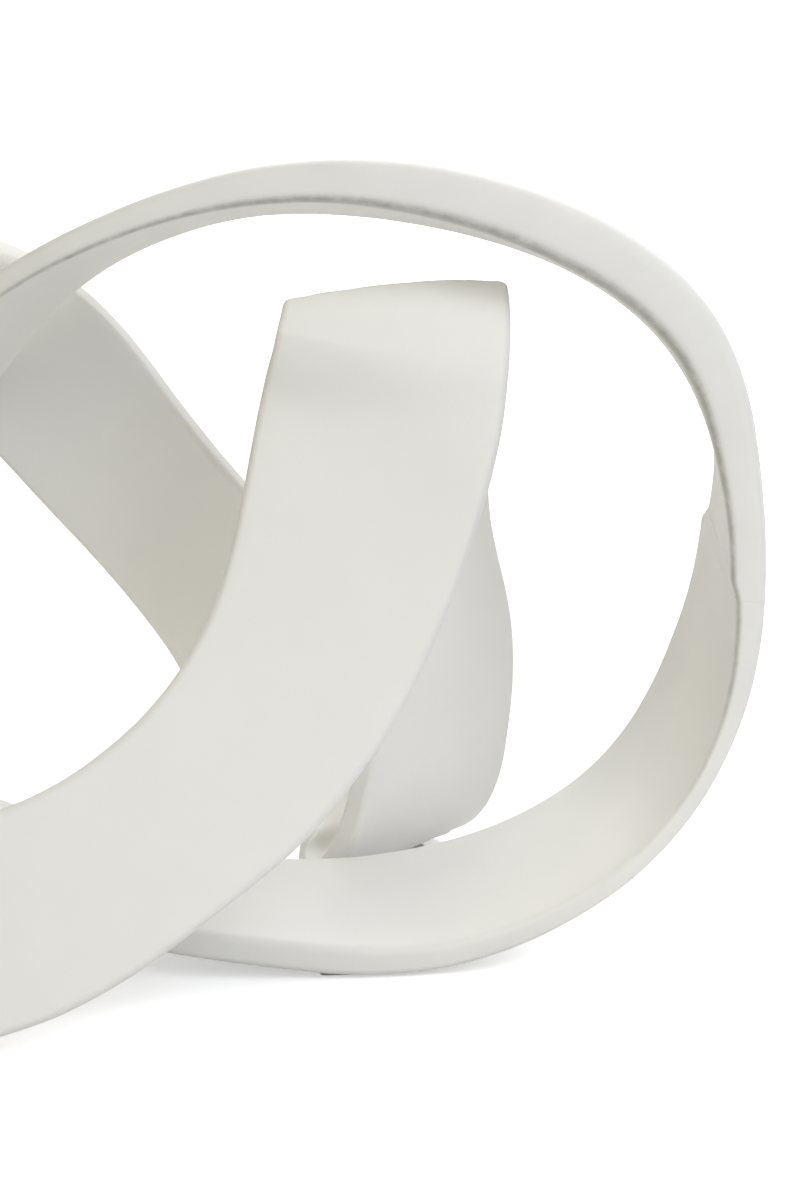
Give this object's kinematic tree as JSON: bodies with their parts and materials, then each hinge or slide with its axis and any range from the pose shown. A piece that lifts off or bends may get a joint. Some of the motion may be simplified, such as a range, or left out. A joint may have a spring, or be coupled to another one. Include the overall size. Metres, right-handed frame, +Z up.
{
  "type": "knot sculpture",
  "caption": "Table-top knot sculpture: one endless matt white flat band that loops over and under itself and stands on its lower edges.",
  "frame": {"origin": "Middle of the footprint box, on the table under the felt pads.", "axes": "+Z up. The side seen in the picture faces -Y, and +X is to the right in it."},
  "size_m": [0.252, 0.1415, 0.1668],
  "materials": {
    "band": "matt white cast resin, lightly sanded",
    "dowel": "plain drawn steel pin",
    "pad": "pressed off-white felt"
  },
  "bodies": {
    "root": {"band_foot_curl": "band", "band_back_riser": "band", "band_top_fold": "band", "band_front_fall": "band", "band_front_sweep": "band", "band_left_foot": "band", "band_left_turn": "band", "band_left_climb": "band", "band_crown": "band", "band_right_shoulder": "band", "band_right_fall": "band", "band_bottom_run": "band", "band_cross_rise": "band", "band_crest_rise": "band", "band_left_crest": "band", "band_back_strand": "band", "dowel_foot_curl_near": "dowel", "dowel_foot_curl_far": "dowel", "dowel_back_riser_near": "dowel", "dowel_back_riser_far": "dowel", "dowel_top_fold_near": "dowel", "dowel_top_fold_far": "dowel", "dowel_front_fall_near": "dowel", "dowel_front_fall_far": "dowel", "dowel_front_sweep_near": "dowel", "dowel_front_sweep_far": "dowel", "dowel_left_foot_near": "dowel", "dowel_left_foot_far": "dowel", "dowel_left_turn_near": "dowel", "dowel_left_turn_far": "dowel", "dowel_left_climb_near": "dowel", "dowel_left_climb_far": "dowel", "dowel_crown_near": "dowel", "dowel_crown_far": "dowel", "dowel_right_shoulder_near": "dowel", "dowel_right_shoulder_far": "dowel", "dowel_right_fall_near": "dowel", "dowel_right_fall_far": "dowel", "dowel_bottom_run_near": "dowel", "dowel_bottom_run_far": "dowel", "dowel_cross_rise_near": "dowel", "dowel_cross_rise_far": "dowel", "dowel_crest_rise_near": "dowel", "dowel_crest_rise_far": "dowel", "dowel_left_crest_near": "dowel", "dowel_left_crest_far": "dowel", "dowel_back_strand_near": "dowel", "dowel_back_strand_far": "dowel", "pad_front": "pad", "pad_left": "pad", "pad_right": "pad", "pad_back": "pad"}
  },
  "joints": []
}
